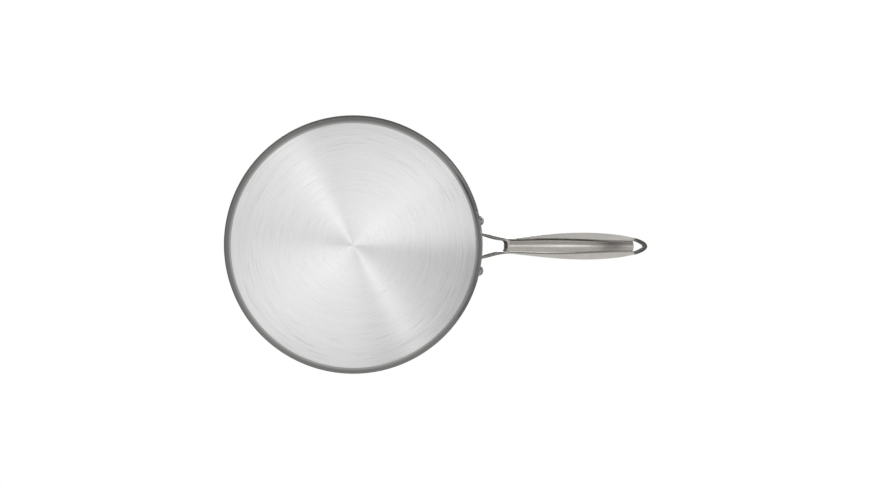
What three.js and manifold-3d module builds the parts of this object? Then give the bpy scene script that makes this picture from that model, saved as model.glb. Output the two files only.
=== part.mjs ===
// Braising pan, 28 cm: a straight-sided body of three-layer clad sheet with a flared pouring rim,
// and a hollow steel handle on a forked bracket that two rivets hold to the wall.
// Millimetres, +Z up. The origin is the centre of the underside. The handle points along +X.

import * as THREE from "three";
import { mergeVertices } from "three/addons/utils/BufferGeometryUtils.js";
import Module from "manifold-3d";

const wasm = await Module();
wasm.setup();

const degrees = Math.PI / 180;

// Pan body: magnetic steel outside, aluminium between, stainless steel inside.
const innerDiameter = 280;
const panHeight = 72;
const outerSkin = 0.5;
const aluminiumCore = 1.8;
const innerSkin = 0.5;
const cornerRadius = 6.4; // outside, from base to wall
const rimRadius = 12; // outside, where the wall flares into the pouring rim
const rimAngle = 58 * degrees;

// Handle as a whole, along its own axis from the face of the flange.
const handleTilt = 15.5 * degrees;
const handleLength = 204.4;
const fitGap = 0.3; // between pieces that seat in each other

// Forked bracket: a curved flange on the wall, two legs, the neck, and a spigot inside the grip.
const flangeThickness = 2.8;
const flangeHeight = 26;
const flangeCorner = 10;
const flangeMargin = 11.5; // from a rivet's axis to the end of the flange
const flangeBelowRim = 0.5; // from the start of the rim's flare down to the flange
const forkSpread = 15.3; // half the width over the legs at the flange
const legThickness = 3.4;
const legBow = 15.1; // along the axis, where the legs straighten into the neck
const crotchDepth = 29; // length of the gap between the legs
const crotchCorner = 4;
const neckHalf = 9.1;
const neckHeight = 13;
const neckLength = 2; // solid between the gap and the grip
const spigotLength = 12;

// Hollow grip: its belly, and the hanging eye at the tip.
const gripWall = 1.2;
const bellyHalf = 15.6;
const bellyHeight = 17.5;
const bellyAt = 127.6;
const eyeHeight = 10;
const tipHeight = 5.5;
const tipRound = 12.5; // sideways reach of the tip's curve
const eyeLength = 15.3;
const eyeBand = 4.2; // between the eye and the tip
const eyeBlock = 5; // solid end of the grip before the eye
const sideRise = 1.6; // widest line of the grip above its axis
const sideBulge = 0.25; // how round its sloping sides are: 0 is flat
const forkFullness = 5; // how square the top is at the fork
const gripFullness = 2.4; // and at the belly

// Strip that closes the grip's underside.
const stripThickness = 1.2;
const stripRecess = 0.4; // below the edges of the grip
const stripCrown = 0.5;
const stripRound = 1.8; // width of its rounded edges
const stripDrop = 0.8; // and how far they fall away
const stripNeckHalf = 7.5;
const stripBellyHalf = 8.5;
const stripBellyAt = 82;
const stripEyeHalf = 6.3;
const gripLip = 0.5; // flat edge of the grip beside the strip
const loopLip = 0.15; // edge beside the flat underside, round the eye

// Rivets.
const rivetSpacing = 56;
const rivetShank = 3; // radius
const rivetHeadOut = 5.6; // radius
const rivetDomeOut = 4.6;
const rivetHeadIn = 5;
const rivetDomeIn = 1.8;

// Facets.
const bodySegments = 60;
const cornerSteps = 5;
const rimSteps = 4;
const rivetSegments = 20;
const domeSteps = 4;
const sideSteps = 2;
const crownSteps = 6;

// Places that follow from the sizes above.
const wallThickness = outerSkin + aluminiumCore + innerSkin;
const innerRadius = innerDiameter / 2;
const outerRadius = innerRadius + wallThickness;
const flangeInner = outerRadius + fitGap;
const flangeOuter = flangeInner + flangeThickness;
const flareStart = panHeight - (rimRadius + wallThickness) * Math.sin(rimAngle);
const axisHeight = flareStart - flangeBelowRim - flangeHeight / 2; // at the face of the flange
const neckEnd = crotchDepth + neckLength;
const shellStart = neckEnd + fitGap;
const eyeAt = handleLength - eyeBand - eyeLength;
const rivetAngle = Math.asin(rivetSpacing / 2 / outerRadius);
const forkRoot = -10; // the legs are made long and trimmed inside the flange

const { lerp, smoothstep } = THREE.MathUtils;
const point = (x, y) => new THREE.Vector2(x, y);

// Solids: from a closed geometry to a manifold and back.
function solid(geometry) {
  const bare = geometry.clone();
  bare.deleteAttribute("normal");
  bare.deleteAttribute("uv");
  const merged = mergeVertices(bare, 1e-4);
  const corners = merged.index.array;
  const triVerts = [];
  for (let i = 0; i < corners.length; i += 3) {
    const [a, b, c] = [corners[i], corners[i + 1], corners[i + 2]];
    if (a !== b && b !== c && a !== c) triVerts.push(a, b, c);
  }
  return new wasm.Manifold(
    new wasm.Mesh({
      numProp: 3,
      vertProperties: merged.attributes.position.array,
      triVerts: new Uint32Array(triVerts),
    }),
  );
}

function geometryOf(made) {
  const { vertProperties, triVerts } = made.getMesh();
  const geometry = new THREE.BufferGeometry();
  geometry.setAttribute("position", new THREE.BufferAttribute(vertProperties, 3));
  geometry.setIndex(new THREE.BufferAttribute(triVerts, 1));
  return geometry;
}

// A closed skin through rings of points, each ring running the same way round, seen from its far end.
function loft(rings) {
  const count = rings[0].length;
  const centres = [rings[0], rings.at(-1)].map((ring) =>
    ring.reduce((sum, p) => sum.add(p), new THREE.Vector3()).divideScalar(count),
  );
  const index = [];
  const last = (rings.length - 1) * count;
  const [firstCentre, lastCentre] = [rings.length * count, rings.length * count + 1];
  for (let j = 0; j < count; j++) {
    const next = (j + 1) % count;
    for (let base = 0; base < last; base += count) {
      const [a, b] = [base + j, base + next];
      index.push(a, b, a + count, b, b + count, a + count);
    }
    index.push(firstCentre, next, j, lastCentre, last + j, last + next);
  }
  return new THREE.BufferGeometry().setFromPoints([...rings.flat(), ...centres]).setIndex(index);
}

function extrude(shape, low, high, curveSegments = 10) {
  const geometry = new THREE.ExtrudeGeometry(shape, {
    depth: high - low,
    bevelEnabled: false,
    curveSegments,
  });
  return geometry.translate(0, 0, low);
}

// Turns about the Y axis of a lathe or cylinder become turns about Z.
const upright = (geometry) => geometry.rotateX(Math.PI / 2);

// From the handle's own frame, with its axis along X, to the pan's.
const handleFrame = new THREE.Matrix4()
  .makeRotationY(-handleTilt)
  .setPosition(flangeOuter, 0, axisHeight);

// Line of the sheet at a depth under its outer face, from the axis along the base and up to the rim.
function sheetLine(depth) {
  const line = [point(0, depth)];
  const bend = cornerRadius - depth;
  const flat = outerRadius - cornerRadius;
  for (let i = 0; i <= cornerSteps; i++) {
    const turn = ((i / cornerSteps) * Math.PI) / 2;
    line.push(point(flat + bend * Math.sin(turn), cornerRadius - bend * Math.cos(turn)));
  }
  const flare = rimRadius + depth;
  for (let i = 0; i <= rimSteps; i++) {
    const turn = (i / rimSteps) * rimAngle;
    const x = outerRadius + rimRadius - flare * Math.cos(turn);
    line.push(point(x, flareStart + flare * Math.sin(turn)));
  }
  return line;
}

function cladLayer(outside, inside) {
  const profile = [...sheetLine(outside), ...sheetLine(inside).reverse()];
  return solid(upright(new THREE.LatheGeometry(profile, bodySegments)));
}

// Rivets lie on radii of the pan, one on each side of the handle.
const rivetPlace = (side) =>
  new THREE.Matrix4().makeRotationZ(side * rivetAngle).setPosition(0, 0, axisHeight);

function rivetHoles() {
  const radius = rivetShank + fitGap;
  const reach = 2 * flangeMargin;
  const [left, right] = [1, -1].map((side) => {
    const hole = new THREE.CylinderGeometry(radius, radius, reach, rivetSegments);
    hole.rotateZ(-Math.PI / 2).translate(outerRadius, 0, 0);
    return solid(hole.applyMatrix4(rivetPlace(side)));
  });
  return left.add(right);
}

// A dome of given radius and height as profile points, from its edge to the axis or back.
function dome(radius, height, base) {
  const points = [];
  for (let i = 0; i <= domeSteps; i++) {
    const turn = ((i / domeSteps) * Math.PI) / 2;
    points.push(point(radius * Math.cos(turn), base + height * Math.sin(turn)));
  }
  return points;
}

function rivet() {
  const seatIn = innerRadius - 2 * fitGap; // flat head against a hollow wall
  const seatOut = flangeOuter + fitGap;
  const profile = [
    ...dome(rivetHeadIn, -rivetDomeIn, seatIn).reverse(),
    point(rivetShank, seatIn),
    point(rivetShank, seatOut),
    ...dome(rivetHeadOut, rivetDomeOut, seatOut),
  ];
  profile[0].x = 0;
  profile.at(-1).x = 0;
  const turned = new THREE.LatheGeometry(profile, rivetSegments);
  return turned.rotateZ(-Math.PI / 2);
}

// Plan of the handle: half widths along its axis, as three curves.
const forkCurve = new THREE.QuadraticBezierCurve(
  point(forkRoot, lerp(forkSpread, neckHalf, forkRoot / legBow)),
  point(legBow, neckHalf),
  point(neckEnd, neckHalf),
);
const swellCurve = new THREE.CubicBezierCurve(
  point(neckEnd, neckHalf),
  point(lerp(neckEnd, bellyAt, 0.18), neckHalf),
  point(lerp(neckEnd, bellyAt, 0.57), bellyHalf),
  point(bellyAt, bellyHalf),
);
const tipCurve = new THREE.CubicBezierCurve(
  point(bellyAt, bellyHalf),
  point(lerp(bellyAt, handleLength, 0.3), bellyHalf),
  point(handleLength, tipRound),
  point(handleLength, 0),
);

// Stations along a curve, ending a little before a sharp end.
function stations(curve, steps, end = 1) {
  return Array.from({ length: steps + 1 }, (_, i) => curve.getPoint((i / steps) * end));
}

// Half width of the handle at a distance along its axis.
function halfWidthAt(along) {
  const curve = along < neckEnd ? forkCurve : along < bellyAt ? swellCurve : tipCurve;
  let [low, high] = [0, 1];
  for (let i = 0; i < 30; i++) {
    const middle = (low + high) / 2;
    if (curve.getPoint(middle).x < along) low = middle;
    else high = middle;
  }
  return curve.getPoint(low).y;
}

function heightAt(along) {
  if (along < bellyAt) return lerp(neckHeight, bellyHeight, smoothstep(along, neckEnd, bellyAt));
  if (along < eyeAt) return lerp(bellyHeight, eyeHeight, smoothstep(along, bellyAt, eyeAt));
  return lerp(eyeHeight, tipHeight, (along - eyeAt) / (handleLength - eyeAt));
}

function stripHalfAt(along) {
  if (along < stripBellyAt)
    return lerp(stripNeckHalf, stripBellyHalf, smoothstep(along, neckEnd, stripBellyAt));
  return lerp(stripBellyHalf, stripEyeHalf, smoothstep(along, stripBellyAt, eyeAt));
}

// Half width of the flat underside: beside the legs, along the strip, and round the eye.
function underHalfAt(along, half) {
  if (along < neckEnd) return half - gripLip;
  const beside = stripHalfAt(along) + fitGap + gripLip;
  if (along < eyeAt) return Math.min(beside, half - gripLip);
  const band = half - Math.min(loopLip, 0.3 * half);
  const start = (beside * half) / halfWidthAt(eyeAt);
  return lerp(start, band, smoothstep(along, eyeAt, eyeAt + eyeBand));
}

// One section of the handle: flat underside, sloping sides, domed top. Insets make the hollow.
function section({ x, y }, inset = 0, insetBelow = inset) {
  const half = y - inset;
  const under = (underHalfAt(x, y) * half) / y;
  const top = heightAt(x) / 2 - inset;
  const bottom = insetBelow - heightAt(x) / 2;
  const fullness = lerp(forkFullness, gripFullness, smoothstep(x, neckEnd, bellyAt));
  const rightSide = [];
  for (let i = 0; i <= sideSteps; i++) {
    const t = i / sideSteps;
    const bulge = Math.sin((t * Math.PI) / 2);
    const across = lerp(under, half, lerp(t, bulge, sideBulge));
    rightSide.push(new THREE.Vector3(x, across, lerp(bottom, sideRise, t)));
  }
  for (let i = 1; i < crownSteps; i++) {
    const turn = ((i / crownSteps) * Math.PI) / 2;
    const across = half * Math.cos(turn) ** (2 / fullness);
    const up = lerp(sideRise, top, Math.sin(turn) ** (2 / fullness));
    rightSide.push(new THREE.Vector3(x, across, up));
  }
  const mirrored = rightSide.map((p) => new THREE.Vector3(p.x, -p.y, p.z)).reverse();
  return [...rightSide, new THREE.Vector3(x, 0, top), ...mirrored];
}

// Outline of the gap between the legs, seen from above, with rounded corners at the crotch.
function forkGap() {
  const corner = crotchDepth - crotchCorner;
  const side = stations(forkCurve, 8)
    .filter((p) => p.x < corner)
    .map((p) => point(p.x, p.y - legThickness));
  const half = halfWidthAt(corner) - legThickness;
  const round = Math.min(crotchCorner, half);
  const shape = new THREE.Shape([...side, point(corner, half)]);
  shape.absarc(crotchDepth - round, half - round, round, Math.PI / 2, 0, true);
  shape.absarc(crotchDepth - round, round - half, round, 0, -Math.PI / 2, true);
  [...side].reverse().forEach((p) => shape.lineTo(p.x, -p.y));
  return shape;
}

// Plate that follows the wall, cut to a rounded outline.
function flange() {
  const halfLength = rivetSpacing / 2 + flangeMargin;
  const sweep = 1.1 * Math.asin(halfLength / flangeOuter);
  const curved = new THREE.Shape();
  curved.absarc(0, 0, flangeOuter, -sweep, sweep, false);
  curved.absarc(0, 0, flangeInner, sweep, -sweep, true);
  const plate = extrude(curved, axisHeight - flangeHeight, axisHeight + flangeHeight, 24);

  const halfHeight = flangeHeight / 2;
  const corner = Math.min(flangeCorner, halfHeight);
  const outline = new THREE.Shape();
  for (const [i, [x, y]] of [[1, 1], [-1, 1], [-1, -1], [1, -1]].entries()) {
    const start = (i * Math.PI) / 2;
    outline.absarc(x * (halfLength - corner), y * (halfHeight - corner), corner, start, start + Math.PI / 2);
  }
  const blank = extrude(outline, 0, flangeOuter + flangeThickness, 5);
  blank.applyMatrix4(new THREE.Matrix4().makeBasis(
    new THREE.Vector3(0, 1, 0),
    new THREE.Vector3(0, 0, 1),
    new THREE.Vector3(1, 0, 0),
  ));
  return solid(plate).intersect(solid(blank.translate(0, 0, axisHeight)));
}

function bracket() {
  const blank = solid(loft(stations(forkCurve, 10).map((s) => section(s))));
  const gap = solid(extrude(forkGap(), -neckHeight, neckHeight, 6));
  const below = stripRecess + stripThickness + fitGap;
  const inset = gripWall + fitGap;
  const spigotEnds = [neckEnd - neckLength / 2, neckEnd + spigotLength];
  const spigot = loft(spigotEnds.map((x) => section(point(x, neckHalf), inset, below)));
  const arm = blank.subtract(gap).add(solid(spigot));

  const wallRadius = (flangeInner + flangeOuter) / 2;
  const wall = upright(new THREE.CylinderGeometry(wallRadius, wallRadius, 2 * panHeight, 120));
  const placed = solid(geometryOf(arm).applyMatrix4(handleFrame)).subtract(
    solid(wall.translate(0, 0, axisHeight)),
  );
  return placed.add(flange()).subtract(rivetHoles());
}

// Seen from above: flat where the strip ends, pointed like the tip at the far end.
function eye() {
  const far = handleLength - eyeBand;
  const half = stripEyeHalf + 2 * fitGap;
  const shape = new THREE.Shape();
  shape.moveTo(eyeAt, half);
  const [near, late] = [lerp(eyeAt, far, 0.35), lerp(eyeAt, far, 0.9)];
  shape.bezierCurveTo(near, half, late, half / 2, far, 0);
  shape.bezierCurveTo(late, -half / 2, near, -half, eyeAt, -half);
  return solid(extrude(new THREE.Shape(shape.getPoints(8).reverse()), -bellyHeight, bellyHeight));
}

// Section of the strip: upright edges, and a crowned underside that falls away beside them.
function stripSection(along) {
  const half = stripHalfAt(along);
  const lower = stripRecess - heightAt(along) / 2;
  const upper = lower + stripThickness;
  const flat = half - stripRound;
  const side = [
    [flat / 2, lower - 0.75 * stripCrown],
    [flat, lower],
    [half - 0.3 * stripRound, lower + 0.45 * stripDrop],
    [half, lower + stripDrop],
    [half, upper],
  ];
  const mirrored = side.map(([y, z]) => [-y, z]).reverse();
  const ring = [...side, ...mirrored, [0, lower - stripCrown]];
  return ring.map(([y, z]) => new THREE.Vector3(along, y, z));
}

// The slot that the strip lies in, open below.
function slotSection(along) {
  const half = stripHalfAt(along) + fitGap;
  const upper = stripRecess + stripThickness + fitGap - heightAt(along) / 2;
  const ring = [[half, -bellyHeight], [half, upper], [-half, upper], [-half, -bellyHeight]];
  return ring.map(([y, z]) => new THREE.Vector3(along, y, z));
}

function loftAlong(from, to, sectionAt) {
  const steps = 14;
  return loft(Array.from({ length: steps + 1 }, (_, i) => sectionAt(lerp(from, to, i / steps))));
}

function gripShell() {
  const path = [...stations(swellCurve, 9), ...stations(tipCurve, 13, 0.98).slice(1)];
  path[0] = point(shellStart, neckHalf);
  const outside = solid(loft(path.map((s) => section(s))));

  const hollowEnd = eyeAt - eyeBlock;
  const inner = path.filter((s) => s.x < hollowEnd - 1);
  inner[0] = point(neckEnd - 1, neckHalf);
  inner.push(point(hollowEnd, halfWidthAt(hollowEnd)));
  const hollow = solid(loft(inner.map((s) => section(s, gripWall))));

  const slot = solid(loftAlong(neckEnd - 1, eyeAt + fitGap, slotSection));
  return geometryOf(outside.subtract(hollow).subtract(slot).subtract(eye()));
}

function underStrip() {
  return loftAlong(shellStart, eyeAt, stripSection);
}

// Finishes.
const finish = (color, roughness, metalness = 1) =>
  new THREE.MeshStandardMaterial({ color, roughness, metalness });
const brushedBase = finish(0xd9d9d9, 0.32);
const aluminium = finish(0xc4c6c8, 0.4);
const satinInside = finish(0xcfcfcd, 0.3);
const castSteel = finish(0x9c9a94, 0.25);
const polishedGrip = finish(0xb4b1ab, 0.22);
const stripSteel = finish(0x9a968f, 0.24);
const rivetSteel = finish(0xa8a8a6, 0.2);

// Assembly.
const pan = new THREE.Group();

function piece(name, geometry, material, parent = pan) {
  const mesh = new THREE.Mesh(geometry, material);
  mesh.name = name;
  parent.add(mesh);
  return mesh;
}

const holes = rivetHoles();
const coreDepth = outerSkin + aluminiumCore;
piece("outer_skin", geometryOf(cladLayer(0, outerSkin).subtract(holes)), brushedBase);
piece("aluminium_core", geometryOf(cladLayer(outerSkin, coreDepth).subtract(holes)), aluminium);
piece("inner_skin", geometryOf(cladLayer(coreDepth, wallThickness).subtract(holes)), satinInside);

piece("handle_bracket", geometryOf(bracket()), castSteel);
for (const [name, side] of [["rivet_left", 1], ["rivet_right", -1]])
  piece(name, rivet(), rivetSteel).applyMatrix4(rivetPlace(side));

const handle = new THREE.Group();
handle.applyMatrix4(handleFrame);
pan.add(handle);
piece("grip_shell", gripShell(), polishedGrip, handle);
piece("grip_underside", underStrip(), stripSteel, handle);

export default pan;
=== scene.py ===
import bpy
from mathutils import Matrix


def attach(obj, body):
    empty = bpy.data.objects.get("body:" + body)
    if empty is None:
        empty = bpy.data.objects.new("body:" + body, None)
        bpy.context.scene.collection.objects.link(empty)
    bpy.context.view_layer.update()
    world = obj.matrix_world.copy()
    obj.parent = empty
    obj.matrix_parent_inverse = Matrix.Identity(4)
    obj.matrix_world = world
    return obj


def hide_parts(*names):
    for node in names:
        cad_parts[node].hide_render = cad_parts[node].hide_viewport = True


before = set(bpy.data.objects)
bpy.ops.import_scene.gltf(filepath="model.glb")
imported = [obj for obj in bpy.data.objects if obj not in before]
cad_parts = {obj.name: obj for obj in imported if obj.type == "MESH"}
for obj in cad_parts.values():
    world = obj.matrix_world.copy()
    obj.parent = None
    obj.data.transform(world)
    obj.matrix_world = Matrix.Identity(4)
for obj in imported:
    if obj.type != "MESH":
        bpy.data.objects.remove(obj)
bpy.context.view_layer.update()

import math

import bmesh
import bpy
from mathutils import Matrix, Vector

mm = 0.001
scene = bpy.context.scene
scene.view_settings.view_transform = "Standard"
print("frame loaded:", ", ".join(sorted(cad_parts)))


# small helpers

def mix(a, b, t):
    return a + (b - a) * t


def ease(x, low, high):
    t = min(max((x - low) / (high - low), 0.0), 1.0)
    return t * t * (3 - 2 * t)


def bezier(points, t):
    while len(points) > 1:
        points = [(mix(p[0], q[0], t), mix(p[1], q[1], t)) for p, q in zip(points, points[1:])]
    return points[0]


def makePiece(name, points, faces, finishes, sharpOver=38):
    mesh = bpy.data.meshes.new(name)
    mesh.from_pydata(points, [], faces)
    work = bmesh.new()
    work.from_mesh(mesh)
    bmesh.ops.remove_doubles(work, verts=work.verts, dist=0.002 * mm)
    bmesh.ops.dissolve_degenerate(work, edges=work.edges, dist=0.001 * mm)
    bmesh.ops.delete(work, geom=[point for point in work.verts if not point.link_faces], context="VERTS")
    bmesh.ops.recalc_face_normals(work, faces=work.faces)
    work.to_mesh(mesh)
    work.free()
    for finish in finishes:
        mesh.materials.append(finish)
    mesh.shade_smooth()
    mesh.set_sharp_from_angle(angle=math.radians(sharpOver))
    piece = bpy.data.objects.new(name, mesh)
    scene.collection.objects.link(piece)
    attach(piece, "root")
    return piece


def turned(profile, turns):  # profile of (radius, height), from the axis back to the axis
    points = []
    faces = []
    count = len(profile)
    for i in range(turns):
        angle = 2 * math.pi * i / turns
        points += [(r * math.cos(angle), r * math.sin(angle), z) for r, z in profile]
    for i in range(turns):
        for j in range(count - 1):
            a = i * count + j
            b = (i + 1) % turns * count + j
            faces.append((a, b, b + 1, a + 1))
    return points, faces


# finishes

acrossTangent = 0.25  # turn of the brushing against the tangent


class Finish:  # a metal with its own node tree
    def __init__(self, name, colour, roughness, anisotropic=0.0, turn=0.0):
        self.material = bpy.data.materials.new(name)
        self.material.use_nodes = True
        self.nodes = self.material.node_tree.nodes
        self.links = self.material.node_tree.links
        self.shader = self.nodes["Principled BSDF"]
        self.shader.inputs["Base Color"].default_value = (*colour, 1)
        self.shader.inputs["Metallic"].default_value = 1
        self.shader.inputs["Roughness"].default_value = roughness
        self.shader.inputs["Anisotropic"].default_value = anisotropic
        self.shader.inputs["Anisotropic Rotation"].default_value = turn

    def node(self, kind, **values):
        made = self.nodes.new(kind)
        for key, value in values.items():
            setattr(made, key, value)
        return made

    def join(self, source, target):
        self.links.new(source, target)

    def math(self, operation, a, b=0.0):
        made = self.node("ShaderNodeMath", operation=operation)
        for socket, value in zip(made.inputs, (a, b)):
            if isinstance(value, (int, float)):
                socket.default_value = value
            else:
                self.join(value, socket)
        return made.outputs[0]

    def vector(self, operation, a, b=None, scale=None):
        made = self.node("ShaderNodeVectorMath", operation=operation)
        for socket, value in zip(made.inputs, (a, b)):
            if value is None:
                continue
            if isinstance(value, tuple):
                socket.default_value = value
            else:
                self.join(value, socket)
        if scale is not None:
            made.inputs["Scale"].default_value = scale
        return made.outputs["Value" if operation == "LENGTH" else "Vector"]

    def place(self):
        return self.node("ShaderNodeTexCoord").outputs["Object"]

    def axis(self, name):
        split = self.node("ShaderNodeSeparateXYZ")
        self.join(self.place(), split.inputs[0])
        return split.outputs[name]

    def noise(self, vector, detail):
        made = self.node("ShaderNodeTexNoise")
        made.inputs["Scale"].default_value = 1
        made.inputs["Detail"].default_value = detail
        made.inputs["Roughness"].default_value = 0.55
        self.join(vector, made.inputs["Vector"])
        return made.outputs["Fac"]

    def spread(self, value, low, high, fromLow=0.3, fromHigh=0.7):
        made = self.node("ShaderNodeMapRange")
        made.inputs["From Min"].default_value = fromLow
        made.inputs["From Max"].default_value = fromHigh
        made.inputs["To Min"].default_value = low
        made.inputs["To Max"].default_value = high
        self.join(value, made.inputs["Value"])
        return made.outputs["Result"]

    def product(self, factors):
        total = factors[0]
        for factor in factors[1:]:
            total = self.math("MULTIPLY", total, factor)
        return total

    def tint(self, colour, factor):  # colour times a factor that varies over the surface
        scaled = self.node("ShaderNodeVectorMath", operation="SCALE")
        scaled.inputs[0].default_value = colour
        self.join(factor, scaled.inputs["Scale"])
        self.join(scaled.outputs["Vector"], self.shader.inputs["Base Color"])

    def grain(self, height, strength, distance):
        bump = self.node("ShaderNodeBump")
        bump.inputs["Strength"].default_value = strength
        bump.inputs["Distance"].default_value = distance
        self.join(height, bump.inputs["Height"])
        self.join(bump.outputs["Normal"], self.shader.inputs["Normal"])

    def roundTangent(self):
        tangent = self.node("ShaderNodeTangent", direction_type="RADIAL", axis="Z")
        self.join(tangent.outputs["Tangent"], self.shader.inputs["Tangent"])


def roundGrain(finish, arc, pitch, along):  # lines that run round the pan's axis, broken into arcs
    place = finish.place()
    flat = finish.vector("MULTIPLY", place, (1, 1, 0))
    radius = finish.vector("LENGTH", flat)
    heading = finish.vector("SCALE", finish.vector("NORMALIZE", flat), scale=1 / arc)
    across = radius if along == "radius" else finish.axis("Z")
    lines = finish.node("ShaderNodeCombineXYZ")
    finish.join(finish.math("MULTIPLY", across, 1 / pitch), lines.inputs["Z"])
    return finish.noise(finish.vector("ADD", heading, lines.outputs[0]), detail=4), radius


brushedBase = {
    "colour": (0.84, 0.84, 0.84),
    "roughness": (0.22, 0.28),
    "anisotropic": 1.0,
    "arc": 0.55,  # radians that a brush line lasts
    "pitch": 1.6 * mm,
    "tones": (  # tone from and to, and the radii between which it changes
        (1.03, 0.88, 30 * mm, 135 * mm),
        (0.955, 1, 12 * mm, 34 * mm),
        (1, 0.965, 105 * mm, 134 * mm),
    ),
    "amounts": (  # less brushing to be seen in the middle, most near the border
        (0.36, 0.55, 35 * mm, 70 * mm),
        (1, 2.05, 98 * mm, 118 * mm),
    ),
    "layers": (  # arc and pitch as shares, then what the lines do to the tone
        (1, 1, (-0.045, 0.03)),
        (1.6, 3.4, (-0.03, 0.025)),
        (0.6, 1.5, (0, -0.08, 0.55, 0.66)),  # single darker lines
    ),
}


def makeBrushedBase():
    look = brushedBase
    finish = Finish("brushedBase", look["colour"], look["roughness"][0], look["anisotropic"], acrossTangent)
    finish.roundTangent()
    layers = []
    for arcShare, pitchShare, span in look["layers"]:
        grain, radius = roundGrain(finish, look["arc"] * arcShare, look["pitch"] * pitchShare, "radius")
        layers.append((grain, span))
    tone = finish.product([finish.spread(radius, *span) for span in look["tones"]])
    amount = finish.product([finish.spread(radius, *span) for span in look["amounts"]])
    for grain, span in layers:
        change = finish.math("MULTIPLY", finish.spread(grain, *span), amount)
        tone = finish.math("MULTIPLY", tone, finish.math("ADD", change, 1))
    lines = layers[0][0]
    finish.tint(look["colour"], tone)
    finish.join(finish.spread(lines, *look["roughness"]), finish.shader.inputs["Roughness"])
    finish.grain(lines, 0.1, 0.02 * mm)
    return finish.material


satinWall = {
    # the bend's colour, kept dark as painted shade
    "colour": (0.27, 0.267, 0.262),
    "roughness": (0.34, 0.42),
    "anisotropic": 0.35,
    "pitch": 0.7 * mm,
    "nearBase": (1.45, 1, 136.4 * mm, 140 * mm),  # the base's brushing spills a little over its edge
    "bendShade": (1, 2.1, 5 * mm, 16 * mm),  # lighter above the bend; the darker bend is painted shade
    "shadeUnderRim": (1, 0.32, 62 * mm, 68 * mm),  # and darker again under the rim: painted shade under the flare
}
satinInside = {"colour": (0.72, 0.72, 0.71), "roughness": (0.26, 0.34), "anisotropic": 0.5}


def makeSatinWall():
    look = satinWall
    finish = Finish("satinWall", look["colour"], look["roughness"][0], look["anisotropic"], acrossTangent)
    finish.roundTangent()
    lines, radius = roundGrain(finish, 0.8, look["pitch"], "height")
    broad, _ = roundGrain(finish, 1.4, look["pitch"] * 6, "height")
    height = finish.axis("Z")
    tone = finish.product([
        finish.spread(radius, *look["nearBase"]),
        finish.spread(height, *look["bendShade"]),
        finish.spread(height, *look["shadeUnderRim"]),
        finish.spread(lines, 0.93, 1.06),
        finish.spread(broad, 0.94, 1.05),
    ])
    finish.tint(look["colour"], tone)
    finish.join(finish.spread(lines, *look["roughness"]), finish.shader.inputs["Roughness"])
    finish.grain(lines, 0.08, 0.012 * mm)
    return finish.material


def makeRoundSatin(name, look, along, pitch):
    finish = Finish(name, look["colour"], look["roughness"][0], look["anisotropic"], acrossTangent)
    finish.roundTangent()
    lines, _ = roundGrain(finish, 0.8, pitch, along)
    finish.tint(look["colour"], finish.spread(lines, 0.95, 1.05))
    finish.join(finish.spread(lines, *look["roughness"]), finish.shader.inputs["Roughness"])
    finish.grain(lines, 0.06, 0.01 * mm)
    return finish.material


def makePlainSatin(name, colour, roughness, cell, paintedHighlight=None):  # fine even satin with a soft clouding
    finish = Finish(name, colour, roughness[0])
    cloudsPerMetre = 60
    fine = finish.noise(finish.vector("SCALE", finish.place(), scale=1 / cell), detail=5)
    cloud = finish.noise(finish.vector("SCALE", finish.place(), scale=cloudsPerMetre), detail=2)
    tones = [finish.spread(fine, 0.97, 1.03), finish.spread(cloud, 0.96, 1.04)]
    # paintedHighlight lightens the colour along X: painted light
    if paintedHighlight:
        tones.append(finish.spread(finish.axis("X"), *paintedHighlight))
    finish.tint(colour, finish.product(tones))
    finish.join(finish.spread(fine, *roughness), finish.shader.inputs["Roughness"])
    finish.grain(fine, 0.05, 0.01 * mm)
    return finish.material


gripSatin = {
    "colour": (0.7, 0.673, 0.633),
    "roughness": (0.18, 0.27),
    "roundEye": (1, 0.55, 326 * mm, 332 * mm),  # darker there: painted shade round the eye
}
stripSatin = {"colour": (0.7, 0.67, 0.625), "roughness": (0.13, 0.2)}


def makeLongSatin(name, look, tilt):  # polishing lines along the handle
    finish = Finish(name, look["colour"], look["roughness"][0])
    linesPerMetre = (22, 900, 900)
    cloudsPerMetre = 45
    turn = finish.node("ShaderNodeMapping")
    turn.inputs["Rotation"].default_value = (0, tilt, 0)
    turn.inputs["Scale"].default_value = linesPerMetre
    finish.join(finish.place(), turn.inputs["Vector"])
    lines = finish.noise(turn.outputs[0], detail=4)
    cloud = finish.noise(finish.vector("SCALE", finish.place(), scale=cloudsPerMetre), detail=2)
    tones = [finish.spread(lines, 0.95, 1.05), finish.spread(cloud, 0.95, 1.05)]
    # darker round the eye: painted shade
    if "roundEye" in look:
        tones.append(finish.spread(finish.axis("X"), *look["roundEye"]))
    finish.tint(look["colour"], finish.product(tones))
    finish.join(finish.spread(lines, *look["roughness"]), finish.shader.inputs["Roughness"])
    finish.grain(lines, 0.05, 0.01 * mm)
    return finish.material


# pan body: three layers of one clad sheet

body = {
    "innerRadius": 140.0 * mm,
    "height": 72.0 * mm,
    "layers": (0.5 * mm, 1.8 * mm, 0.5 * mm),  # outside, core, inside
    "corner": 6.4 * mm,
    "baseEdge": 0.16 * mm,  # fine step where the brushed base ends
    "rimRadius": 12.0 * mm,
    "rimAngle": math.radians(58),
    "turns": 288,
    "cornerSteps": 16,
    "rimSteps": 16,
}
wallThickness = sum(body["layers"])
outerRadius = body["innerRadius"] + wallThickness
flatRadius = outerRadius - body["corner"]
flareStart = body["height"] - (body["rimRadius"] + wallThickness) * math.sin(body["rimAngle"])


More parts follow.
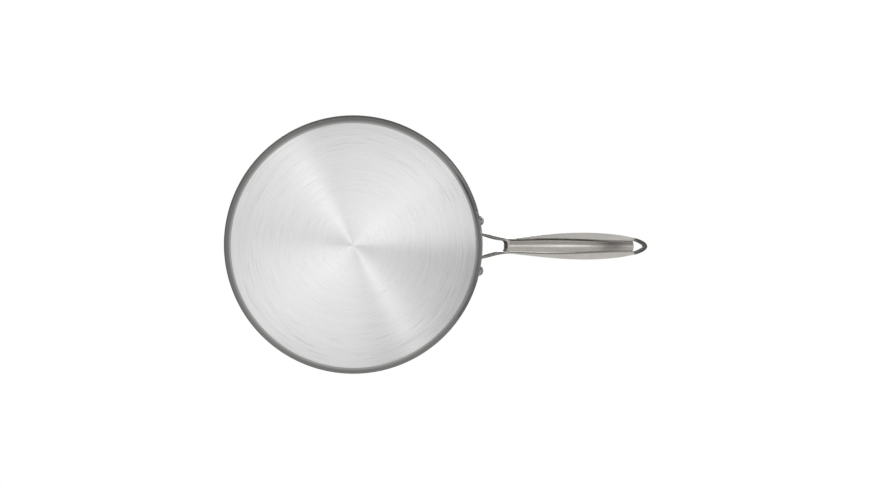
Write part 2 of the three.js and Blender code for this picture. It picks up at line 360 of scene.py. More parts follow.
def sheetLine(depth, baseEdge=0.0):
    line = [(flatRadius * share, depth) for share in (0, 0.1, 0.25, 0.4, 0.55, 0.7, 0.82, 0.92)]
    line.append((flatRadius - 2.5 * baseEdge, depth))
    bend = body["corner"] - depth
    if baseEdge:
        line.append((flatRadius - 1.2 * baseEdge, depth + 0.15 * baseEdge))
        line.append((flatRadius - 0.35 * baseEdge, depth + 0.6 * baseEdge))
    for i in range(body["cornerSteps"] + 1):
        turn = i / body["cornerSteps"] * math.pi / 2
        lift = (bend - baseEdge) * math.cos(turn)
        line.append((flatRadius + bend * math.sin(turn), body["corner"] - lift))
    flare = body["rimRadius"] + depth
    wallRadius = flatRadius + bend
    for share in (0.06, 0.3, 0.6, 0.9):
        line.append((wallRadius, mix(body["corner"], flareStart, share)))
    for i in range(body["rimSteps"] + 1):
        turn = i / body["rimSteps"] * body["rimAngle"]
        reach = outerRadius + body["rimRadius"] - flare * math.cos(turn)
        line.append((reach, flareStart + flare * math.sin(turn)))
    return line


def makeBody(finishes):
    outside, core, inside = body["layers"]
    depths = {"pan_outside": (0, outside), "pan_core": (outside, outside + core)}
    depths["pan_inside"] = (outside + core, wallThickness)
    nodes = {"pan_outside": "outer_skin", "pan_core": "aluminium_core", "pan_inside": "inner_skin"}
    for name, (low, high) in depths.items():
        edge = body["baseEdge"] if name == "pan_outside" else 0
        profile = sheetLine(low, edge) + sheetLine(high)[::-1]
        points, faces = turned(profile, body["turns"])
        piece = makePiece(name, points, faces, finishes[name])
        if name == "pan_outside":
            for face in piece.data.polygons:
                face.material_index = 0 if face.center.z < 0.25 * edge else 1
        if name == "pan_inside":
            for face in piece.data.polygons:
                face.material_index = 0 if face.center.z < high + 0.1 * mm else 1
        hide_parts(nodes[name])


# handle: its plan, height and frame

handle = {
    "tilt": math.radians(15.5),
    "length": 204.4,  # mm from here on, in the handle's own frame
    "gap": 0.3,
    "forkRoot": -10.0,
    "rootSink": 1.2,  # the legs' roots end this far inside the flange
    "rootBlend": 9.0,  # and follow its face over this length
    "forkSpread": 15.3,
    "legThickness": 3.4,
    "legBow": 15.1,
    "crotch": 29.0,
    "crotchCorner": 4.0,
    "neckHalf": 9.1,
    "neckHeight": 13.0,
    "neckEnd": 31.0,
    "neckGap": 0.04,  # hairline between the neck and the grip
    "bellyHalf": 15.6,
    "bellyHeight": 17.5,
    "bellyAt": 127.6,
    "eyeHeight": 10.0,
    "tipHeight": 5.5,
    "tipRound": 12.5,
    "tipCut": 0.07,  # the mesh ends this far before the plan's point
    "eyeAt": 184.9,
    "eyeFar": 200.2,
    "eyeBand": 4.2,  # between the eye and the tip
    "sideRise": 1.6,
    "sideBulge": 0.25,
    "forkFullness": 5.0,
    "gripFullness": 2.4,
    "stripThickness": 1.2,
    "stripRecess": 0.4,
    "stripCrown": 0.5,
    "stripRound": 3.7,
    "stripDrop": 1.15,
    "stripNeckHalf": 7.5,
    "stripBellyHalf": 8.9,
    "stripBellyAt": 82.0,
    "stripEyeHalf": 6.3,
    "stripSpare": 0.2,  # closes most of the gap beside it
    "stripEnd": 1.1,  # its end bulges towards the eye
    "stripEndFrom": 5.0,
    "lip": 0.3,  # flat edge under the legs and the neck
    "gripLip": 0.25,  # and beside the strip
    "lipBlend": 14.0,
    "loopLip": 0.15,
}
flange = {
    "thickness": 2.8,
    "height": 26.0,
    "corner": 10.0,
    "halfLength": 39.5,
    "belowRim": 0.5,
    "bevel": 0.7,
}
flangeInner = outerRadius / mm + handle["gap"]
flangeOuter = flangeInner + flange["thickness"]
axisHeight = flareStart / mm - flange["belowRim"] - flange["height"] / 2
handleFrame = Matrix.Translation((flangeOuter * mm, 0, axisHeight * mm))
handleFrame = handleFrame @ Matrix.Rotation(-handle["tilt"], 4, "Y")

rootSpread = mix(handle["forkSpread"], handle["neckHalf"], handle["forkRoot"] / handle["legBow"])
forkCurve = [
    (handle["forkRoot"], rootSpread),
    (handle["legBow"], handle["neckHalf"]),
    (handle["neckEnd"], handle["neckHalf"]),
]
swellCurve = [
    (handle["neckEnd"], handle["neckHalf"]),
    (mix(handle["neckEnd"], handle["bellyAt"], 0.18), handle["neckHalf"]),
    (mix(handle["neckEnd"], handle["bellyAt"], 0.57), handle["bellyHalf"]),
    (handle["bellyAt"], handle["bellyHalf"]),
]
tipCurve = [
    (handle["bellyAt"], handle["bellyHalf"]),
    (mix(handle["bellyAt"], handle["length"], 0.3), handle["bellyHalf"]),
    (handle["length"], handle["tipRound"]),
    (handle["length"], 0.0),
]
eyeHalf = handle["stripEyeHalf"] + handle["gap"]
eyeCurve = [
    (handle["eyeAt"], eyeHalf),
    (mix(handle["eyeAt"], handle["eyeFar"], 0.4), eyeHalf),
    (handle["eyeFar"], 0.3 * eyeHalf),
    (handle["eyeFar"], 0.0),
]


def acrossAt(curve, along):  # reads a plan curve at a distance along the handle
    low, high = 0.0, 1.0
    for _ in range(40):
        middle = (low + high) / 2
        if bezier(curve, middle)[0] < along:
            low = middle
        else:
            high = middle
    return bezier(curve, low)[1]


def halfWidthAt(along):
    if along < handle["neckEnd"]:
        return acrossAt(forkCurve, along)
    return acrossAt(swellCurve if along < handle["bellyAt"] else tipCurve, along)


def heightAt(along):
    if along < handle["bellyAt"]:
        share = ease(along, handle["neckEnd"], handle["bellyAt"])
        return mix(handle["neckHeight"], handle["bellyHeight"], share)
    if along < handle["eyeAt"]:
        share = ease(along, handle["bellyAt"], handle["eyeAt"])
        return mix(handle["bellyHeight"], handle["eyeHeight"], share)
    share = (along - handle["eyeAt"]) / (handle["length"] - handle["eyeAt"])
    return mix(handle["eyeHeight"], handle["tipHeight"], share)


def stripHalfAt(along):
    if along < handle["stripBellyAt"]:
        share = ease(along, handle["neckEnd"], handle["stripBellyAt"])
        return mix(handle["stripNeckHalf"], handle["stripBellyHalf"], share)
    share = ease(along, handle["stripBellyAt"], handle["eyeAt"])
    return mix(handle["stripBellyHalf"], handle["stripEyeHalf"], share)


def underHalfAt(along, half):
    if along < handle["neckEnd"]:
        return half - handle["lip"]
    onGrip = ease(along, handle["neckEnd"], handle["neckEnd"] + handle["lipBlend"])
    beside = stripHalfAt(along) + handle["gap"] + mix(handle["lip"], handle["gripLip"], onGrip)
    if along < handle["eyeAt"]:
        return min(beside, half - handle["lip"])
    atEye = beside * half / halfWidthAt(handle["eyeAt"])
    roundEye = half - min(handle["loopLip"], 0.3 * half)
    return mix(atEye, roundEye, ease(along, handle["eyeAt"], handle["eyeAt"] + handle["eyeBand"]))


def forkGap():  # outline of the gap between the legs, from the flange to the crotch
    corner = handle["crotch"] - handle["crotchCorner"]
    outline = []
    for i in range(60):
        along = mix(-8.0, corner, i / 60)
        outline.append((along, halfWidthAt(along) - handle["legThickness"]))
    half = halfWidthAt(corner) - handle["legThickness"]
    for i in range(33):
        turn = i / 32 * math.pi / 2
        sink = handle["crotchCorner"] * (1 - math.cos(turn))
        outline.append((corner + handle["crotchCorner"] * math.sin(turn), half - sink))
    return outline


def hangingEye():  # outline of the eye, from the strip's end to the tip
    return [bezier(eyeCurve, i / 80) for i in range(81)]


def awayFrom(outline, distance):  # the outline moved out from the hole
    moved = []
    for i, (along, across) in enumerate(outline):
        before = outline[max(i - 1, 0)]
        after = outline[min(i + 1, len(outline) - 1)]
        run, rise = after[0] - before[0], after[1] - before[1]
        length = math.hypot(run, rise)
        moved.append((along - rise / length * distance, across + run / length * distance))
    return moved


def readAcross(outline, along):
    for (a, low), (b, high) in zip(outline, outline[1:]):
        if a <= along <= b and b > a:
            return mix(low, high, (along - a) / (b - a))
    return outline[0][1] if along < outline[0][0] else outline[-1][1]


section = {
    "lipEdge": 0.05,  # rounding of the edges beside the strip
    "lipRound": 0.16,  # and where they turn into the sides
    "legEdge": 1.5,  # rounding under the legs, outside
    "gapEdge": 0.5,  # rounding round the gap between the legs
    "bandEdge": 0.5,  # rounding under the eye's band
    "upperEdge": 0.6,  # rounding over the gap and over the eye
    "arcSteps": 5,
    "sideSteps": 9,
    "domeSteps": 14,
}


# rounded edge of a hole at one station, from the hole outwards, as (across, how far it falls back)
def roundedEdge(outline, along, edge):
    steps = section["arcSteps"]
    past = max(along - outline[-1][0], 0.0)
    if past >= edge:
        return [(outline[-1][1], 0.0)] * (steps + 1)
    first = math.acos(1 - past / edge)
    points = []
    for i in range(steps + 1):
        turn = mix(first, math.pi / 2, i / steps)
        across = readAcross(awayFrom(outline, edge * (1 - math.cos(turn))), along)
        points.append((across, edge * (1 - math.sin(turn))))
    if past > 0:
        points[0] = (outline[-1][1], points[0][1])
    return points


# right half of a section, from the underside's middle to the top's middle, in three runs:
# below the inner edge, round the outside, above the inner edge
def halfSection(along, lower, upper, outerEdge, trench=None):
    half = halfWidthAt(along)
    height = heightAt(along)
    top, bottom = height / 2, -height / 2
    rise = min(handle["sideRise"], 0.3 * height)
    inner = lower[0][0]
    under = underHalfAt(along, half)
    past = ease(along, handle["eyeAt"], handle["eyeAt"] + 2)
    under = mix(under, max(under, inner + 0.3 * (half - inner)), past)
    share = ease(along, handle["neckEnd"], handle["bellyAt"])
    power = 2 / mix(handle["forkFullness"], handle["gripFullness"], share)
    outside = [(min(across, mix(inner, under, 0.5)), bottom + lift) for across, lift in lower]
    reach = min(max(across for across, _ in lower), mix(inner, under, 0.5))
    outer = min(outerEdge, 0.96 * (under - reach))
    for i in range(section["arcSteps"] + 1):
        turn = math.pi / 2 * i / section["arcSteps"]
        outside.append((under - outer * (1 - math.sin(turn)), bottom + outer * (1 - math.cos(turn))))
    for i in range(1, section["sideSteps"] + 1):
        t = i / section["sideSteps"]
        bulge = mix(t, math.sin(t * math.pi / 2), handle["sideBulge"])
        outside.append((mix(under, half, bulge), mix(bottom + outer, rise, t)))

    def domeLevel(across):
        turn = math.acos(min(max(across / half, 0.0), 1.0) ** (1 / power))
        return mix(rise, top, math.sin(turn) ** power)

    ending = min(upper[-1][0], 0.999 * half)
    last = math.acos(min(max(ending / half, 0.0), 1.0) ** (1 / power))
    for i in range(1, section["domeSteps"] + 1):
        turn = last * i / section["domeSteps"]
        outside.append((half * math.cos(turn) ** power, mix(rise, top, math.sin(turn) ** power)))
    for across, drop in upper[-2::-1]:
        outside.append((min(across, ending), domeLevel(min(across, ending)) - drop))
    middle = bottom + (lower[0][1] if trench is None else trench)
    below = [(0.0, middle), (inner, middle)]
    inside, drop = upper[0]
    above = [(inside * part, domeLevel(inside * part) - drop) for part in (0.75, 0.5, 0.25, 0.0)]
    return below, outside, above


def loftHalves(stations):  # stations of (along, runs, kind); kind is full, split or closed
    points = []
    faces = []
    for side in (1, -1):
        rows = []
        for along, (below, outside, above), kind in stations:
            run = below + outside + above if kind == "full" else outside
            rows.append((len(points), len(run), kind))
            points += [(along, side * across, level) for across, level in run]
        lead = len(stations[0][1][0])
        count = len(stations[0][1][1])
        for (a, aCount, aKind), (b, bCount, bKind) in zip(rows, rows[1:]):
            aFirst = a + (lead if aKind == "full" else 0)
            bFirst = b + (lead if bKind == "full" else 0)
            if aKind == "full" and bKind == "full":
                faces += [(a + i, b + i, b + i + 1, a + i + 1) for i in range(aCount - 1)]
                continue
            if {aKind, bKind} == {"full", "split"}:  # both at one place: the wall at the hole's end
                start, size = (a, aCount) if aKind == "full" else (b, bCount)
                middle = list(range(start, start + lead + 1))
                middle += list(range(start + lead + count - 1, start + size))
                faces.append(tuple(middle))
                continue
            faces += [(aFirst + i, bFirst + i, bFirst + i + 1, aFirst + i + 1) for i in range(count - 1)]
            if aKind == "split" and bKind == "split":
                faces.append((aFirst, aFirst + count - 1, bFirst + count - 1, bFirst))
        for start, size, _ in (rows[0], rows[-1]):
            faces.append(tuple(range(start, start + size)))
    return points, faces


def inPan(points):
    return [handleFrame @ Vector((x * mm, y * mm, z * mm)) for x, y, z in points]


# grip: a trench for the strip along its underside, and the hanging eye at its tip

def makeGrip(finish):
    eyeAt, eyeFar = handle["eyeAt"], handle["eyeFar"]
    lip, band, upper = section["lipEdge"], section["bandEdge"], section["upperEdge"]
    first = handle["neckEnd"] + handle["gap"]
    depth = handle["stripRecess"] + handle["stripThickness"] + handle["gap"]
    eye = hangingEye()
    stations = []
    steps = 90
    beyond = 9.0  # the trench's edge is taken as straight past both ends
    for i in range(steps + 1):
        along = mix(first, eyeAt, i / steps)
        inner = stripHalfAt(along) + handle["gap"]
        edge = roundedEdge([(first - beyond, inner), (eyeAt + beyond, inner)], along, lip)
        closed = [(inner, 0.0)] * len(edge)
        stations.append((along, halfSection(along, edge, closed, section["lipRound"], depth), "full"))
    eyeSteps = 30
    for i in range(eyeSteps + 1):
        along = mix(eyeAt, eyeFar, math.sin(i / eyeSteps * math.pi / 2))
        past = ease(along, eyeAt, eyeAt + 3)
        lower = roundedEdge(eye, along, mix(lip, band, past))
        over = roundedEdge(eye, along, mix(0.001, upper, past))
        outer = mix(section["lipRound"], band, past)
        stations.append((along, halfSection(along, lower, over, outer), "split"))
    tipSteps = 22
    for i in range(1, tipSteps + 1):
        along = mix(eyeFar, handle["length"] - handle["tipCut"], math.sin(i / tipSteps * math.pi / 2))
        lower = roundedEdge(eye, along, band)
        over = roundedEdge(eye, along, upper)
        stations.append((along, halfSection(along, lower, over, band), "closed"))
    points, faces = loftHalves(stations)
    piece = makePiece("grip", inPan(points), faces, [finish])
    shading = piece.modifiers.new("evenShading", "WEIGHTED_NORMAL")  # keeps the narrow flats flat
    shading.keep_sharp = True
    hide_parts("grip_shell")


# strip along the underside of the grip

def makeStrip(finish):
    first = handle["neckEnd"] + handle["gap"]
    crownSteps, edgeSteps = 8, 8
    points = []
    faces = []
    steps = 90
    for i in range(steps + 1):
        along = mix(first, handle["eyeAt"], i / steps)
        half = stripHalfAt(along) + handle["stripSpare"]
        lower = -heightAt(along) / 2 + handle["stripRecess"]
        narrowing = half / handle["stripBellyHalf"]  # the rounding narrows with the strip
        roundOff, drop = handle["stripRound"] * narrowing, handle["stripDrop"] * narrowing
        flat = half - roundOff
        side = []
        for j in range(crownSteps + 1):
            share = j / crownSteps
            side.append((flat * share, lower - handle["stripCrown"] * (1 - share * share)))
        for j in range(1, edgeSteps + 1):
            share = j / edgeSteps
            fall = mix(share * share, share ** 3, 0.3)
            side.append((flat + roundOff * share, lower + drop * fall))
        side.append((half, lower + handle["stripThickness"]))
        ring = [(-across, level) for across, level in side[:0:-1]] + side
        swell = handle["stripEnd"] * ease(along, handle["eyeAt"] - handle["stripEndFrom"], handle["eyeAt"])
        for across, level in ring:
            points.append((along + swell * (1 - (across / half) ** 2), across, level))
    count = len(ring)
    for i in range(steps):
        for j in range(count):
            a = i * count + j
            b = i * count + (j + 1) % count
            faces.append((a, b, b + count, a + count))
    faces.append(tuple(range(count)))
    faces.append(tuple(range(steps * count, (steps + 1) * count)))
    piece = makePiece("grip_strip", inPan(points), faces, [finish])
    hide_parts("grip_underside")


# bracket: flange on the wall, forked legs, neck

def flangeOutline(inset, columns):  # upper half height at each column of the plate
    halfLength = flange["halfLength"] - inset
    halfHeight = flange["height"] / 2 - inset
    corner = flange["corner"] - inset
    outline = []
    for i in range(columns + 1):
        place = -math.cos(i / columns * math.pi) * halfLength
        over = max(abs(place) - (halfLength - corner), 0.0)
        outline.append((place, halfHeight - corner + math.sqrt(max(corner * corner - over * over, 0.0))))
    return outline


def makeFlange():
    columns = 96
    rowsDeep = 8
    bevel = flange["bevel"]
    layers = [(0.0, flangeInner)]
    for inset, below in ((0, 1), (0.13, 0.5), (0.5, 0.13), (1, 0)):  # a quarter round
        layers.append((inset * bevel, flangeOuter - below * bevel))
    points = []
    faces = []
    size = (columns + 1) * (rowsDeep + 1)
    for inset, radius in layers:
        for s, high in flangeOutline(inset, columns):
            for k in range(rowsDeep + 1):
                level = mix(high, -high, k / rowsDeep)
                points.append((radius * math.cos(s / radius), radius * math.sin(s / radius), level))
    deep = rowsDeep + 1
    edge = [i * deep for i in range(columns + 1)]
    edge += [columns * deep + k for k in range(1, deep)]
    edge += [i * deep + rowsDeep for i in range(columns - 1, -1, -1)]
    edge += range(rowsDeep - 1, 0, -1)
    for layer in range(len(layers) - 1):
        a, b = layer * size, (layer + 1) * size
        faces += [(a + i, a + j, b + j, b + i) for i, j in zip(edge, edge[1:] + edge[:1])]
    for start in (0, (len(layers) - 1) * size):
        for i in range(columns):
            for k in range(rowsDeep):
                a = start + i * deep + k
                faces.append((a, a + 1, a + deep + 1, a + deep))
    return [Vector((x * mm, y * mm, (z + axisHeight) * mm)) for x, y, z in points], faces


def seatOnFlange(point):  # the legs' roots follow the flange's face and end inside it
    along, across, level = point
    reach = math.sqrt((flangeOuter - handle["rootSink"]) ** 2 - across ** 2)
    root = (reach - flangeOuter + level * math.sin(handle["tilt"])) / math.cos(handle["tilt"])
    return (along + (1 - ease(along, 0, handle["rootBlend"])) * root, across, level)


def makeBracket(finish):
    crotch = handle["crotch"]
    ending = handle["neckEnd"] + handle["gap"] - handle["neckGap"]
    lip, leg = section["lipEdge"], section["legEdge"]
    gap = forkGap()
    steps, neckSteps = 48, 12
    places = [(mix(0, crotch, 1 - (1 - i / steps) ** 1.6), "split") for i in range(steps + 1)]
    places += [(mix(crotch, ending, (i / neckSteps) ** 1.4), "full") for i in range(neckSteps + 1)]
    stations = []
    for along, kind in places:
        lower = roundedEdge(gap, along, section["gapEdge"])
        over = roundedEdge(gap, along, section["upperEdge"])
        outer = mix(leg, lip, ease(along, crotch - 8, ending))
        stations.append((along, halfSection(along, lower, over, outer), kind))
    points, faces = loftHalves(stations)
    points = inPan([seatOnFlange(point) for point in points])
    platePoints, plateFaces = makeFlange()
    faces += [tuple(index + len(points) for index in face) for face in plateFaces]
    piece = makePiece("fork_bracket", points + platePoints, faces, [finish])
    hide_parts("handle_bracket")


# rivets: domed outside, low head inside

rivet = {"spacing": 56.0, "shank": 3.0, "headOut": 5.6, "domeOut": 4.6, "headIn": 5.0, "domeIn": 1.8}


def makeRivets(finish):
    angle = math.asin(rivet["spacing"] / 2 / (outerRadius / mm))
    seatIn = body["innerRadius"] / mm - 2 * handle["gap"]
    seatOut = flangeOuter + handle["gap"]
    profile = []
    for i in range(13):
        turn = math.pi / 2 * (1 - i / 12)
        profile.append((rivet["headIn"] * math.cos(turn), seatIn - rivet["domeIn"] * math.sin(turn)))
    profile += [(rivet["shank"], seatIn), (rivet["shank"], seatOut), (rivet["headOut"] - 0.35, seatOut)]
    for i in range(17):
        turn = mix(0.06, math.pi / 2, i / 16)
        profile.append((rivet["headOut"] * math.cos(turn), seatOut + rivet["domeOut"] * math.sin(turn)))
    profile[0] = (0.0, profile[0][1])
    profile[-1] = (0.0, profile[-1][1])
    points, faces = turned(profile, 56)
    for name, node, side in (("left_rivet", "rivet_left", 1), ("right_rivet", "rivet_right", -1)):
        place = Matrix.Translation((0, 0, axisHeight * mm)) @ Matrix.Rotation(side * angle, 4, "Z")
        place = place @ Matrix.Rotation(math.pi / 2, 4, "Y")
        placed = [place @ Vector((x * mm, y * mm, z * mm)) for x, y, z in points]
        piece = makePiece(name, placed, faces, [finish])
        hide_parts(node)


baseFinish = makeBrushedBase()
wallFinish = makeSatinWall()
floorFinish = makeRoundSatin("satinFloor", satinInside, "radius", 1.1 * mm)
insideFinish = makeRoundSatin("satinInside", satinInside, "height", 0.8 * mm)
coreFinish = makePlainSatin("aluminiumEdge", (0.58, 0.59, 0.6), (0.35, 0.45), 0.4 * mm)
neckHighlight = (1, 1.8, 170 * mm, 174 * mm)  # the neck's colour is lightened towards the grip: painted highlight
castFinish = makePlainSatin("castSteel", (0.32, 0.308, 0.29), (0.2, 0.28), 0.5 * mm, neckHighlight)
rivetFinish = makePlainSatin("rivetSteel", (0.47, 0.47, 0.46), (0.14, 0.2), 0.4 * mm)
gripFinish = makeLongSatin("gripSatin", gripSatin, handle["tilt"])
stripFinish = makeLongSatin("stripSatin", stripSatin, handle["tilt"])
print("finishes made")

makeBody({
    "pan_outside": [baseFinish, wallFinish],
    "pan_core": [coreFinish],
    "pan_inside": [floorFinish, insideFinish],
})
print("pan body made")
makeGrip(gripFinish)
makeStrip(stripFinish)
makeBracket(castFinish)
makeRivets(rivetFinish)
print("handle made")


# studio: a floor that is seen from above only, a white surround, lamps and cards

studio = {
    "floorLevel": -0.8 * mm,
    "floorReach": 9.0,
    "floorColour": (0.86, 0.86, 0.86),
    "fadeFrom": 0.7,  # the floor turns into the white surround
    "fadeTo": 2.6,
    "surround": 0.75,  # its light on what isn't shiny
}


def emptyTree(owner):
    owner.use_nodes = True
    owner.node_tree.nodes.clear()
    return owner.node_tree.nodes, owner.node_tree.links


def makeSurround():
    world = bpy.data.worlds.new("whiteSurround")
    scene.world = world
    nodes, links = emptyTree(world)
    rays = nodes.new("ShaderNodeLightPath")
    seen = nodes.new("ShaderNodeMath")
    seen.operation = "MAXIMUM"
    links.new(rays.outputs["Is Camera Ray"], seen.inputs[0])
    links.new(rays.outputs["Is Glossy Ray"], seen.inputs[1])
    either = nodes.new("ShaderNodeMath")
    either.operation = "MAXIMUM"
    links.new(seen.outputs[0], either.inputs[0])
    links.new(rays.outputs["Is Transmission Ray"], either.inputs[1])
    soft = nodes.new("ShaderNodeBackground")
    soft.inputs["Strength"].default_value = studio["surround"]
    white = nodes.new("ShaderNodeBackground")
    white.inputs["Color"].default_value = (1, 1, 1, 1)
    white.inputs["Strength"].default_value = 1
    choose = nodes.new("ShaderNodeMixShader")
    links.new(either.outputs[0], choose.inputs[0])
    links.new(soft.outputs[0], choose.inputs[1])
    links.new(white.outputs[0], choose.inputs[2])
    out = nodes.new("ShaderNodeOutputWorld")
    links.new(choose.outputs[0], out.inputs["Surface"])


def makeFloor():
    reach, level = studio["floorReach"], studio["floorLevel"]
    mesh = bpy.data.meshes.new("studio_floor")
    corners = [(x * reach, y * reach, level) for x, y in ((-1, -1), (1, -1), (1, 1), (-1, 1))]
    mesh.from_pydata(corners, [], [(0, 1, 2, 3)])
    floor = bpy.data.objects.new("studio_floor", mesh)
    scene.collection.objects.link(floor)
    paint = bpy.data.materials.new("paleFloor")
    mesh.materials.append(paint)
    nodes, links = emptyTree(paint)
    matt = nodes.new("ShaderNodeBsdfDiffuse")
    matt.inputs["Color"].default_value = (*studio["floorColour"], 1)
    white = nodes.new("ShaderNodeEmission")
    place = nodes.new("ShaderNodeTexCoord")
    distance = nodes.new("ShaderNodeVectorMath")
    distance.operation = "LENGTH"
    links.new(place.outputs["Object"], distance.inputs[0])
    fade = nodes.new("ShaderNodeMapRange")
    fade.interpolation_type = "SMOOTHSTEP"
    fade.inputs["From Min"].default_value = studio["fadeFrom"]
    fade.inputs["From Max"].default_value = studio["fadeTo"]
    links.new(distance.outputs["Value"], fade.inputs["Value"])
    pale = nodes.new("ShaderNodeMixShader")
    links.new(fade.outputs["Result"], pale.inputs[0])
    links.new(matt.outputs[0], pale.inputs[1])
    links.new(white.outputs[0], pale.inputs[2])
    rays = nodes.new("ShaderNodeLightPath")
    facing = nodes.new("ShaderNodeNewGeometry")
    above = nodes.new("ShaderNodeMath")  # camera rays from above
    above.operation = "SUBTRACT"
    above.use_clamp = True
    links.new(rays.outputs["Is Camera Ray"], above.inputs[0])
    links.new(facing.outputs["Backfacing"], above.inputs[1])
    clear = nodes.new("ShaderNodeBsdfTransparent")
    choose = nodes.new("ShaderNodeMixShader")
    links.new(above.outputs[0], choose.inputs[0])
    links.new(clear.outputs[0], choose.inputs[1])
    links.new(pale.outputs[0], choose.inputs[2])
    out = nodes.new("ShaderNodeOutputMaterial")
    links.new(choose.outputs[0], out.inputs["Surface"])


def makeCard(name, points, faces, shades):  # seen in the metal only; its light is the product of its ramps
    mesh = bpy.data.meshes.new(name)
    mesh.from_pydata(points, [], faces)
    card = bpy.data.objects.new(name, mesh)
    scene.collection.objects.link(card)
    paint = bpy.data.materials.new(name)
    mesh.materials.append(paint)
    nodes, links = emptyTree(paint)
    place = nodes.new("ShaderNodeTexCoord")
    split = nodes.new("ShaderNodeSeparateXYZ")
    links.new(place.outputs["Object"], split.inputs[0])
    glow = nodes.new("ShaderNodeEmission")
    strength = 1.0
    light = None
    for axis, stops in shades.items():
        if axis == "angle":
            turn = nodes.new("ShaderNodeMath")
            turn.operation = "ARCTAN2"
            links.new(split.outputs["Y"], turn.inputs[0])
            links.new(split.outputs["X"], turn.inputs[1])
            value = turn.outputs[0]
            low, high = -math.pi, math.pi
            stops = [(math.radians(angle), shade) for angle, shade in stops]
        else:
            value = split.outputs[axis]
            low, high = stops[0][0], stops[-1][0]
        span = nodes.new("ShaderNodeMapRange")
        span.inputs["From Min"].default_value = low
        span.inputs["From Max"].default_value = high
        links.new(value, span.inputs["Value"])
        ramp = nodes.new("ShaderNodeValToRGB")
        links.new(span.outputs["Result"], ramp.inputs[0])
        marks = ramp.color_ramp.elements
        while len(marks) < len(stops):
            marks.new(0.5)
        peak = max(shade for _, shade in stops)
        for mark, (at, shade) in zip(marks, stops):
            mark.position = (at - low) / (high - low)
            mark.color = (shade / peak, shade / peak, shade / peak, 1)
        strength *= peak
        if light is None:
            light = ramp.outputs["Color"]
            continue
        both = nodes.new("ShaderNodeVectorMath")
        both.operation = "MULTIPLY"
        links.new(light, both.inputs[0])
        links.new(ramp.outputs["Color"], both.inputs[1])
        light = both.outputs["Vector"]
    links.new(light, glow.inputs["Color"])
    glow.inputs["Strength"].default_value = strength
    out = nodes.new("ShaderNodeOutputMaterial")
    links.new(glow.outputs[0], out.inputs["Surface"])
    card.visible_camera = False
    card.visible_diffuse = False
    card.visible_shadow = False
    card.visible_transmission = False


def ringCard(profile, first=-180, last=180):  # round the pan's axis, from points of (radius, height)
    turns = 72
    points = []
    faces = []
    for i in range(turns + 1):
        angle = math.radians(mix(first, last, i / turns))
        points += [(r * math.cos(angle), r * math.sin(angle), z) for r, z in profile]
    count = len(profile)
    for i in range(turns):
        for j in range(count - 1):
            a = i * count + j
            faces.append((a, a + count, a + count + 1, a + 1))
    return points, faces


def flatCard(x0, x1, y0, y1, z):
    return [(x0, y0, z), (x1, y0, z), (x1, y1, z), (x0, y1, z)], [(0, 1, 2, 3)]


def sideCard(x0, x1, y, z0, z1):
    return [(x0, y, z0), (x1, y, z0), (x1, y, z1), (x0, y, z1)], [(0, 1, 2, 3)]


def even(light):  # the same light all over a card
    return {"Z": [(-3, light), (3, light)]}


def makeLamp(name, place, target, size, power):
    data = bpy.data.lights.new(name, "AREA")
    data.shape = "DISK"
    data.size = size
    data.energy = power
    lamp = bpy.data.objects.new(name, data)
    lamp.location = place
    lamp.rotation_euler = (Vector(target) - Vector(place)).to_track_quat("-Z", "Y").to_euler()
    scene.collection.objects.link(lamp)


underShades = [  # angle round the base as seen from above, and light
    (-180, 1.1), (-164, 1.15), (-150, 1.25), (-138, 1.2), (-130, 1.35), (-121, 1.5),
    (-115, 0.95), (-95, 0.97), (-70, 1.03), (-40, 1.13), (-8, 1.15), (-3, 1.1),
    (4, 0.42), (12, 0.42), (22, 0.45), (30, 0.38), (44, 0.57), (54, 0.8),
    (60, 1.35), (65, 0.85), (72, 0.62), (84, 0.95), (100, 1.05), (180, 1.1),
]
tentLine = [(0.6, -1.0), (1.1, -0.9), (1.45, -0.75), (1.6, -0.3), (1.6, 1.3), (1.3, 1.9), (0.75, 2.2)]
tentShades = {
    "Z": [(-1.0, 0.8), (-0.9, 0.6), (-0.75, 0.56), (0.5, 0.6), (1.3, 0.62), (2.0, 0.55), (2.2, 0.35)],
    "angle": [
        (-180, 1.03), (-165, 1.05), (-150, 1.15), (-135, 1.33), (-120, 1.17), (-105, 1),
        (-90, 0.9), (-75, 0.9), (-60, 1), (-45, 1.2), (-38, 1.2), (-25, 1),
        (40, 1.05), (60, 1.1), (75, 1.03), (90, 1.08), (105, 0.98), (120, 1.13),
        (135, 1.33), (150, 1.25), (165, 1.06), (180, 1.03),
    ],
}
stripShades = {
    "X": [(0.5, 1), (0.75, 0.99), (0.85, 0.95), (1.09, 0.92), (1.14, 0.4), (1.18, 0.05), (1.5, 0.05)],
    "Y": [(-0.4, 0.36), (-0.08, 0.41), (0.06, 0.52), (0.4, 0.57)],
}
lineShades = {
    "X": [(0.61, 0.3), (0.65, 1), (0.688, 1.2), (0.742, 1), (0.843, 0.75), (1.0, 0.52), (1.09, 0.45)],
    "Y": [(-0.085, 0.4), (-0.05, 1.3), (0.03, 1.3), (0.065, 0.5)],
}
upperSeam = {
    "X": [(0.18, 1), (0.27, 0.6), (0.36, 0.6), (0.41, 1), (0.55, 1)],
    "Z": [(-0.14, 0.02), (-0.02, 0.02), (0.01, 0.9), (0.04, 0.9)],
}
lowerSeam = {
    "X": [(0.18, 0.8), (0.34, 0.8), (0.37, 0.35), (0.39, 0.2), (0.5, 0.2)],
    "Z": [(-0.14, 1.1), (-0.03, 1.1), (-0.01, 0.02), (0.04, 0.02)],
}
roofLine = [(1.42, 1.2), (1.1, 1.75), (0.7, 1.95)]

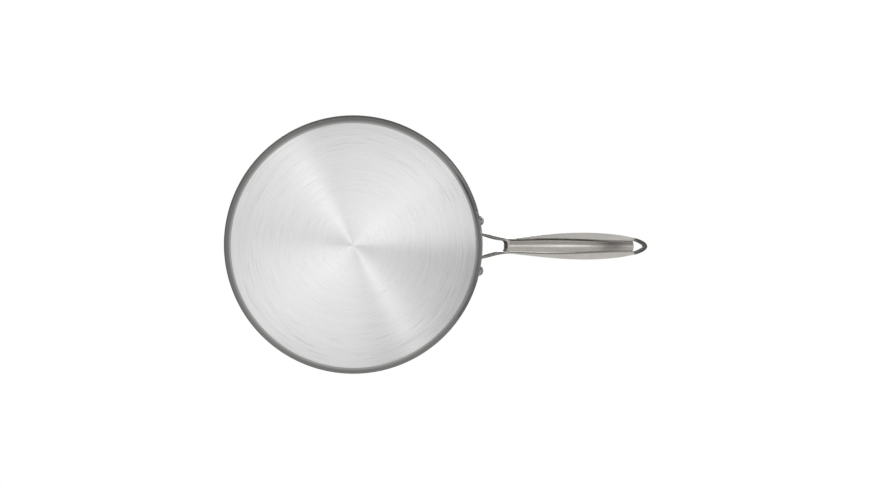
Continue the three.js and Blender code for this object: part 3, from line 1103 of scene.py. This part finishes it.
makeSurround()
makeFloor()
makeLamp("keyLamp", (-0.25, -0.45, 2.8), (0.05, 0, 0.04), 1.4, 42)
makeLamp("fillLamp", (0.7, -0.35, 2.6), (0.1, 0, 0.05), 1.2, 14)
makeCard("underCard", *ringCard([(0.05, -1.0), (0.6, -1.0)]), {"angle": underShades})
makeCard("tentCard", *ringCard(tentLine), tentShades)
makeCard("stripCard", *flatCard(0.5, 1.5, -0.4, 0.4, -0.62), stripShades)
makeCard("lineCard", *flatCard(0.61, 1.09, -0.085, 0.065, -0.615), lineShades)
makeCard("upperSeamCard", *sideCard(0.18, 0.55, -0.12, -0.14, 0.04), upperSeam)
makeCard("lowerSeamCard", *sideCard(0.18, 0.5, 0.12, -0.14, 0.04), lowerSeam)
makeCard("roofCard", *ringCard(roofLine, -24, 24), even(0.08))
makeCard("glintCard", *ringCard([(1.45, -0.15), (1.45, 0.2)], -34, -22), even(1.6))
makeCard("crotchCard", *flatCard(-0.6, 0.195, -0.45, 0.45, 0.55), even(0.06))
makeCard("eyeCard", *flatCard(0.28, 0.42, -0.22, 0.22, 0.55), even(0.06))
print("studio made")


# camera under the base, a little to the handle's side and tilted a little

cameraSet = {
    "distance": 2.13,
    "back": 33.0 * mm,
    "centreRight": 81.4,  # picture's centre from the base's centre, in pixels of a picture 870 wide
    "centreUp": 1.1,
    "roll": math.radians(-0.4),
    "lens": 79.2,
}


def makeCamera():
    data = bpy.data.cameras.new("underCamera")
    data.sensor_width = 36
    data.lens = cameraSet["lens"]
    camera = bpy.data.objects.new("underCamera", data)
    scene.collection.objects.link(camera)
    place = Vector((0, -cameraSet["back"], -cameraSet["distance"]))
    forward = -place.normalized()
    right = forward.cross(Vector((0, -1, 0))).normalized()
    up = right.cross(forward)
    roll = Matrix.Rotation(cameraSet["roll"], 3, forward)
    right, up = roll @ right, roll @ up
    pixel = data.sensor_width / data.lens / 870
    forward += right * cameraSet["centreRight"] * pixel + up * cameraSet["centreUp"] * pixel
    forward.normalize()
    right = forward.cross(up).normalized()
    turn = Matrix((right, right.cross(forward), -forward)).transposed().to_4x4()
    camera.matrix_world = Matrix.Translation(place) @ turn
    scene.camera = camera


makeCamera()
print("camera set")
